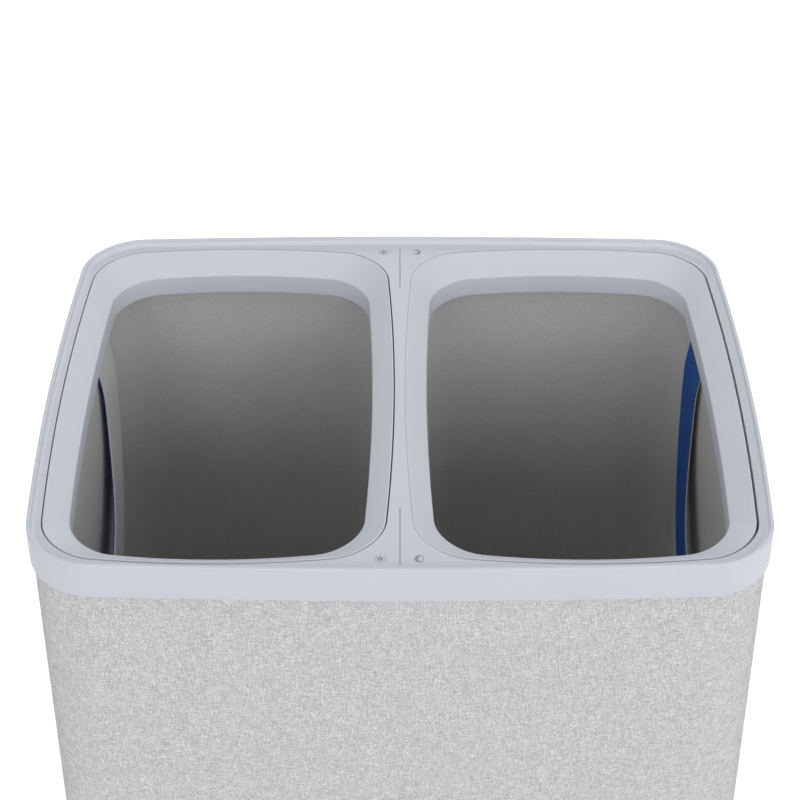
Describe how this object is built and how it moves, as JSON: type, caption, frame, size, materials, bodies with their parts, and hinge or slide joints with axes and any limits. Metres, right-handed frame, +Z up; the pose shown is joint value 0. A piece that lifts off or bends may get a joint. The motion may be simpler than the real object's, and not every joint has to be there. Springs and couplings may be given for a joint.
{
  "type": "two-bin laundry hamper",
  "caption": "Fabric-covered laundry hamper with a moulded rim, lift-out bags on hem hoops and loose bag frames for sorting washing.",
  "frame": {"origin": "on the floor, under the middle of the hamper", "axes": "+Z up, +X to the hamper's right as seen from the front, the front faces -Y"},
  "size_m": [0.5, 0.4, 0.7],
  "materials": {
    "rim_plastic": "satin moulded plastic, pale blue-grey",
    "cover_cloth": "pale grey melange plain weave",
    "shell_board": "plain plastic board",
    "tray_plastic": "satin moulded plastic, grey",
    "foot_rubber": "matt rubber",
    "screw_steel": "zinc plated",
    "bag_cloth": "grey polyester plain weave",
    "hoop_plastic": "plain plastic strip",
    "board_plastic": "plain plastic board",
    "handle_webbing": "blue webbing with a pale tape on one face"
  },
  "bodies": {
    "root": {"rim_frame": "rim_plastic", "wall_shell": "shell_board", "fabric_cover": "cover_cloth", "base_tray": "tray_plastic", "foot_front_left": "foot_rubber", "foot_front_right": "foot_rubber", "foot_back_left": "foot_rubber", "foot_back_right": "foot_rubber", "foot_screw_front_left": "screw_steel", "foot_screw_front_right": "screw_steel", "foot_screw_back_left": "screw_steel", "foot_screw_back_right": "screw_steel"},
    "left_bag": {"left_bag": "bag_cloth", "left_bag_hoop": "hoop_plastic", "left_bag_base_board": "board_plastic", "left_bag_left_handle": "handle_webbing", "left_bag_right_handle": "handle_webbing"},
    "left_frame": {"left_bag_frame": "rim_plastic"},
    "right_bag": {"right_bag": "bag_cloth", "right_bag_hoop": "hoop_plastic", "right_bag_base_board": "board_plastic", "right_bag_left_handle": "handle_webbing", "right_bag_right_handle": "handle_webbing"},
    "right_frame": {"right_bag_frame": "rim_plastic"}
  },
  "joints": [
    {"name": "left_bag_lift", "type": "slide", "parent": "root", "child": "left_bag", "axis": [0, 0, 1], "range_m": [0, 0.66]},
    {"name": "left_frame_lift", "type": "slide", "parent": "left_bag", "child": "left_frame", "axis": [0, 0, 1], "range_m": [0, 0.08]},
    {"name": "right_bag_lift", "type": "slide", "parent": "root", "child": "right_bag", "axis": [0, 0, 1], "range_m": [0, 0.66]},
    {"name": "right_frame_lift", "type": "slide", "parent": "right_bag", "child": "right_frame", "axis": [0, 0, 1], "range_m": [0, 0.08]}
  ]
}
